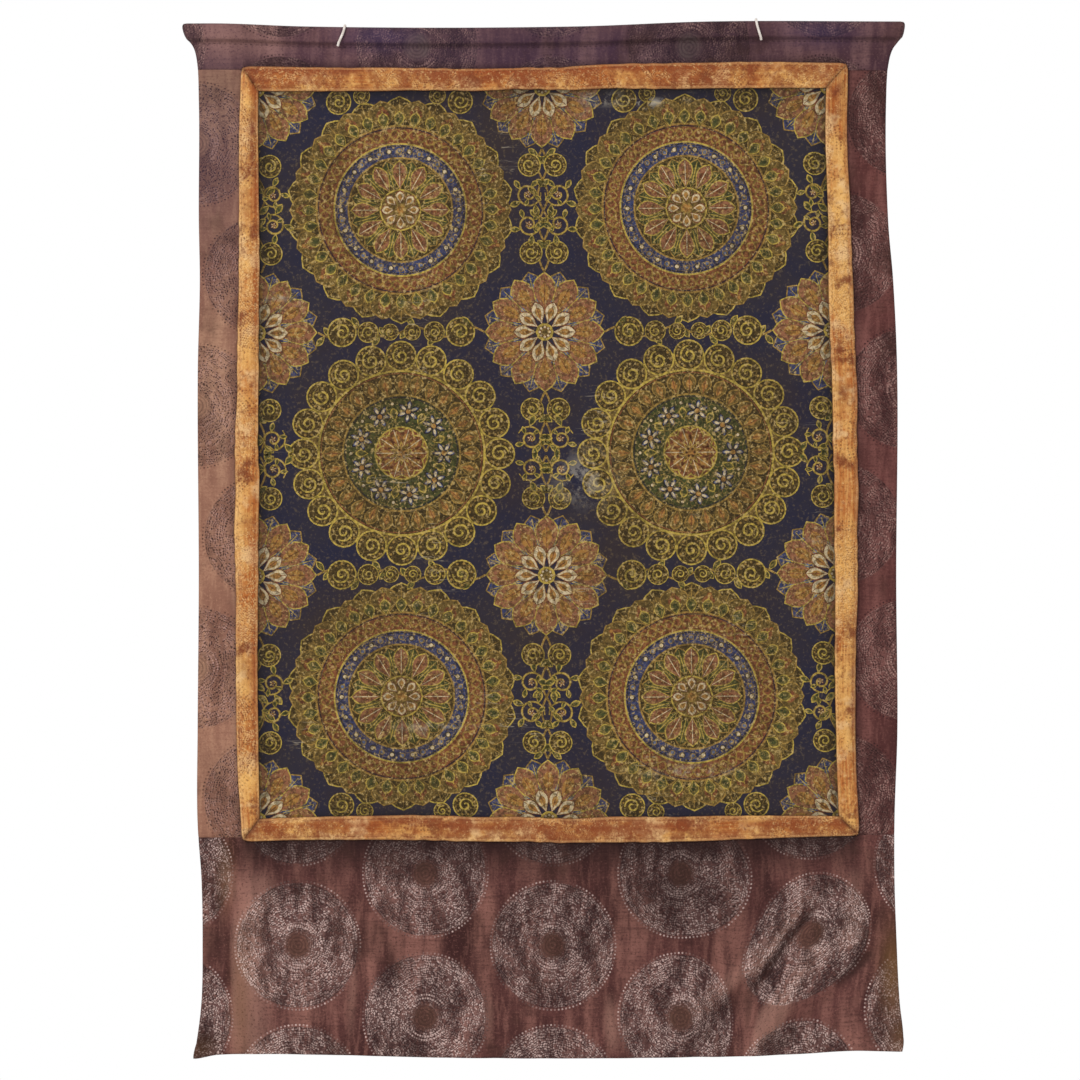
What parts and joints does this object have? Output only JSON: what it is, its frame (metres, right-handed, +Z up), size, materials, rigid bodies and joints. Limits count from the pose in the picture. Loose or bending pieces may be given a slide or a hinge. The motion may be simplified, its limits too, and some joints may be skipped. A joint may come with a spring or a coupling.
{
  "type": "thangka scroll painting",
  "caption": "Hanging scroll painting on canvas, framed by padded gold silk strips on a purple brown brocade mount with a top sleeve and white hanging cords.",
  "frame": {"origin": "middle of the top edge of the hanging sleeve, where it hangs", "axes": "+Z up, the painted front faces -Y, +X to the right as seen from the front"},
  "size_m": [0.7188, 0.016, 1.0397],
  "materials": {
    "painted_canvas": "matt paint on cotton canvas, aged",
    "gold_silk": "worn gold silk with a woven diamond figure",
    "brocade": "ribbed purple brown silk with dotted roundels",
    "cotton_cord": "twisted white cotton"
  },
  "bodies": {
    "root": {"painting": "painted_canvas", "border_top": "gold_silk", "border_bottom": "gold_silk", "border_left": "gold_silk", "border_right": "gold_silk", "brocade_top": "brocade", "brocade_bottom": "brocade", "brocade_left": "brocade", "brocade_right": "brocade", "hanging_cord_left": "cotton_cord", "hanging_cord_right": "cotton_cord"}
  },
  "joints": []
}
